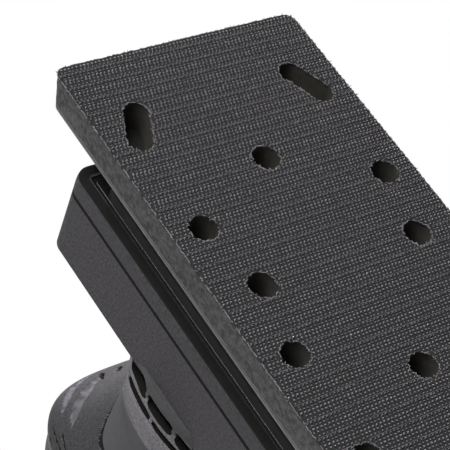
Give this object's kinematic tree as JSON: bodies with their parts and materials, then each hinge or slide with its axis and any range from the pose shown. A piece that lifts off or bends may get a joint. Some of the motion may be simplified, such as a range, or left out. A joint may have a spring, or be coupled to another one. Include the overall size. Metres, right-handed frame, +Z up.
{
  "type": "orbital sander",
  "caption": "Handheld orbital sander: long perforated hook-and-loop pad on a crank, boxed base with rim, vented neck, rounded palm grip, rocker switch and dust outlet.",
  "frame": {"origin": "centre of the pad's working face, which lies on the work", "axes": "+Z up out of the pad into the tool, +X towards the front, away from the dust outlet; +Y to the left"},
  "size_m": [0.2175, 0.0974, 0.1636],
  "materials": {
    "hook_fabric": "matte knitted hook facing",
    "foam": "matte closed-cell foam",
    "black_plastic": "glossy black moulding",
    "charcoal_plastic": "fine satin texture",
    "soft_rubber": "matte soft grip",
    "steel": "ground steel",
    "aluminium": "die cast",
    "copper": "lacquered copper wire",
    "iron": "laminated core",
    "label": "smooth blank label"
  },
  "bodies": {
    "housing": {"base_shell": "charcoal_plastic", "base_rim": "black_plastic", "dust_seal": "soft_rubber", "dust_port": "black_plastic", "vent_collar": "charcoal_plastic", "grip_shell_left": "charcoal_plastic", "grip_shell_right": "charcoal_plastic", "palm_cap": "soft_rubber", "label_plate_left": "label", "label_plate_right": "label", "grip_screw_1": "steel", "grip_screw_2": "steel", "grip_screw_3": "steel", "grip_screw_4": "steel", "switch_bezel": "black_plastic", "switch_module": "black_plastic", "cord_inlet": "soft_rubber", "motor_bracket": "aluminium", "lower_bearing": "steel", "upper_bearing": "steel", "upper_bearing_seat": "soft_rubber", "field_stator": "iron", "brush_holder_left": "black_plastic", "brush_holder_right": "black_plastic", "pad_leg_1": "soft_rubber", "pad_leg_2": "soft_rubber", "pad_leg_3": "soft_rubber", "pad_leg_4": "soft_rubber"},
    "rotor": {"motor_shaft": "steel", "crank_hub": "steel", "counterweight": "iron", "cooling_fan": "black_plastic", "armature_core": "iron", "winding_lower": "copper", "winding_upper": "copper", "commutator": "copper", "pad_bearing_inner_ring": "steel"},
    "sanding_pad": {"hook_facing": "hook_fabric", "foam_cushion": "foam", "backing_plate": "black_plastic", "dust_channel_cover": "black_plastic", "bearing_carrier": "aluminium", "pad_bearing_outer_ring": "steel", "carrier_screw_1": "steel", "carrier_screw_2": "steel", "carrier_screw_3": "steel", "carrier_screw_4": "steel"},
    "rocker": {"switch_rocker": "black_plastic"},
    "hose_adapter": {"dust_adapter": "black_plastic"}
  },
  "joints": [
    {"name": "shaft_spin", "type": "hinge", "parent": "housing", "child": "rotor", "pos_m": [-0.0012, 0, 0.0335], "axis": [0, 0, 1], "continuous": true},
    {"name": "pad_orbit", "type": "hinge", "parent": "rotor", "child": "sanding_pad", "pos_m": [0, 0, 0.0252], "axis": [0, 0, 1], "continuous": true},
    {"name": "rocker_tilt", "type": "hinge", "parent": "housing", "child": "rocker", "pos_m": [-0.05, 0, 0.1576], "axis": [0, 1, 0], "range_deg": [0, 12]},
    {"name": "adapter_pull", "type": "slide", "parent": "housing", "child": "hose_adapter", "axis": [-1, 0, 0], "range_m": [0, 0.03]}
  ],
  "couplings": [
    {"joint": "pad_orbit", "follows": "shaft_spin", "ratio": -1}
  ]
}
